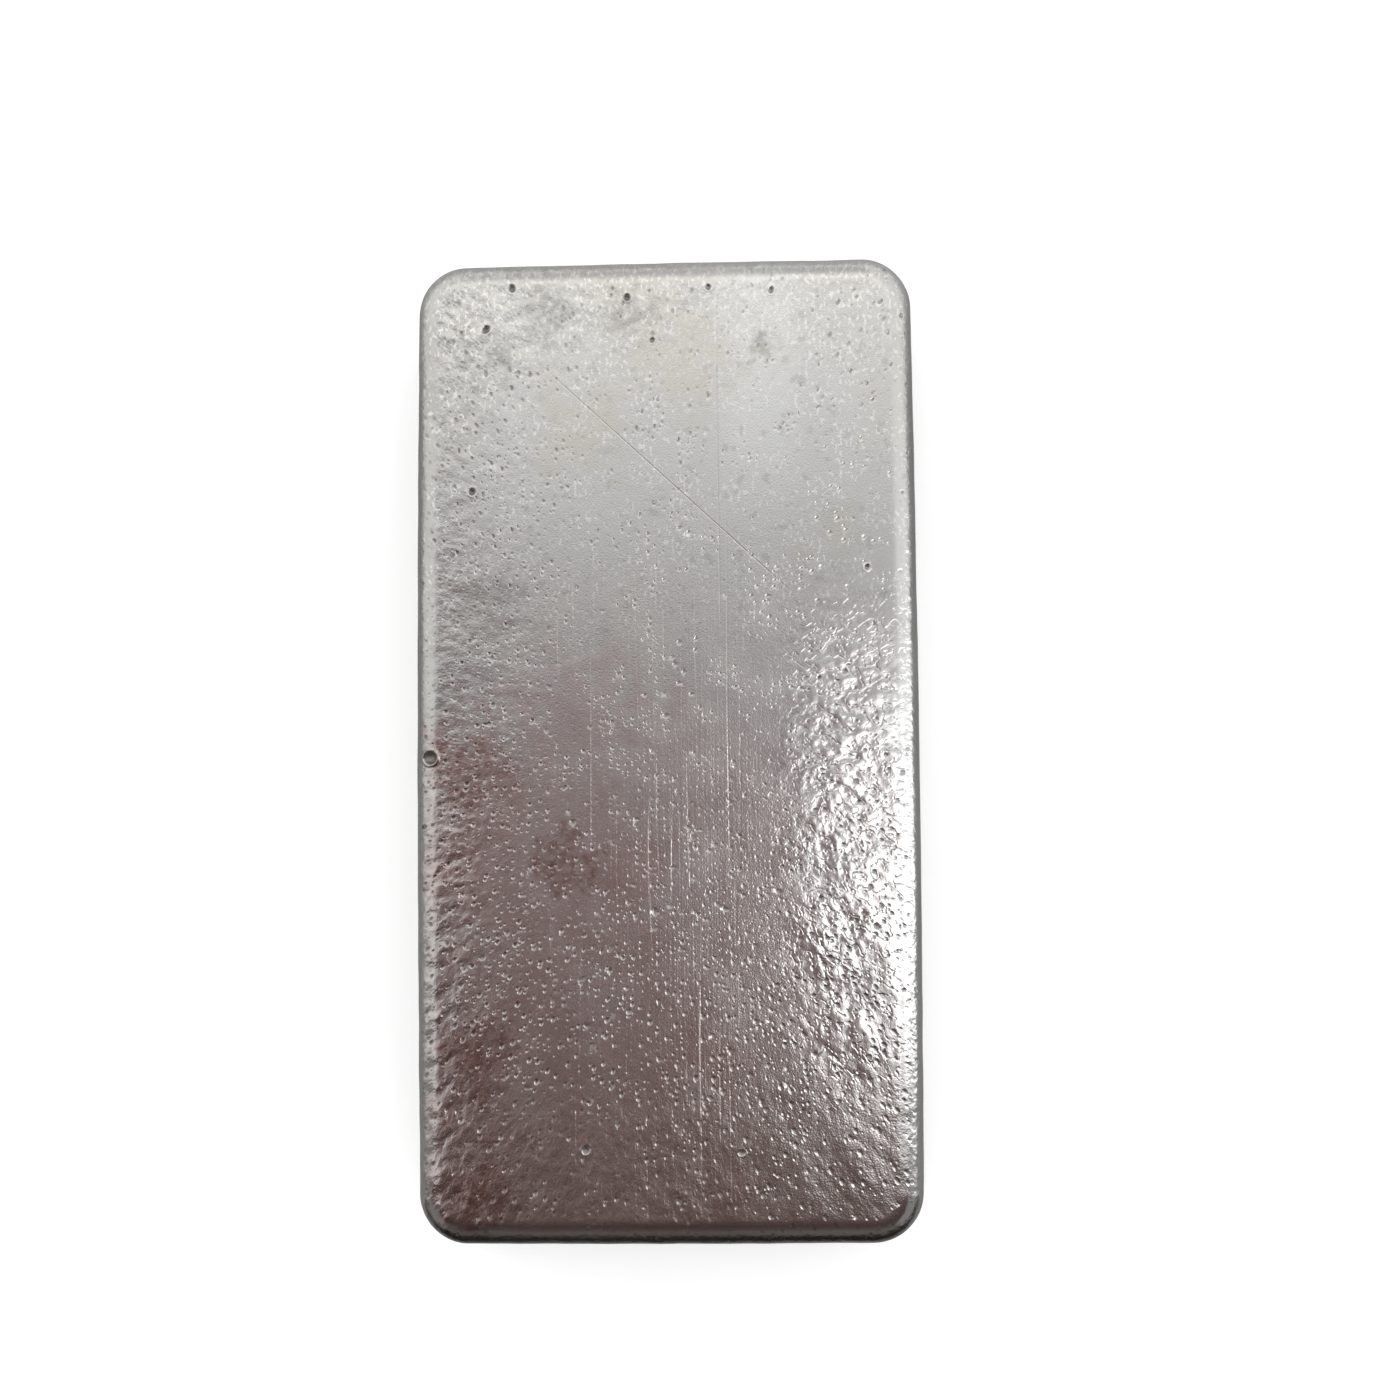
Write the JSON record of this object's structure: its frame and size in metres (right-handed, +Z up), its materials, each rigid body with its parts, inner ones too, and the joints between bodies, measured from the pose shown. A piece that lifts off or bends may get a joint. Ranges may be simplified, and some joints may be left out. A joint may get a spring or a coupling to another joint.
{
  "type": "cast metal ingot",
  "caption": "Flat rectangular cast metal bar with drafted sides, round corners and edges, and a shallow shrinkage hollow in its open face.",
  "frame": {"origin": "middle of the plane that the bar rests on, under its open face", "axes": "+Z up, out of the face that froze against the mould floor; +Y along the bar, towards the end that is at the top of the picture; +X to the right of the picture"},
  "size_m": [0.0518, 0.0998, 0.0195],
  "materials": {
    "cast_metal": "satin"
  },
  "bodies": {
    "root": {"ingot": "cast_metal"}
  },
  "joints": []
}
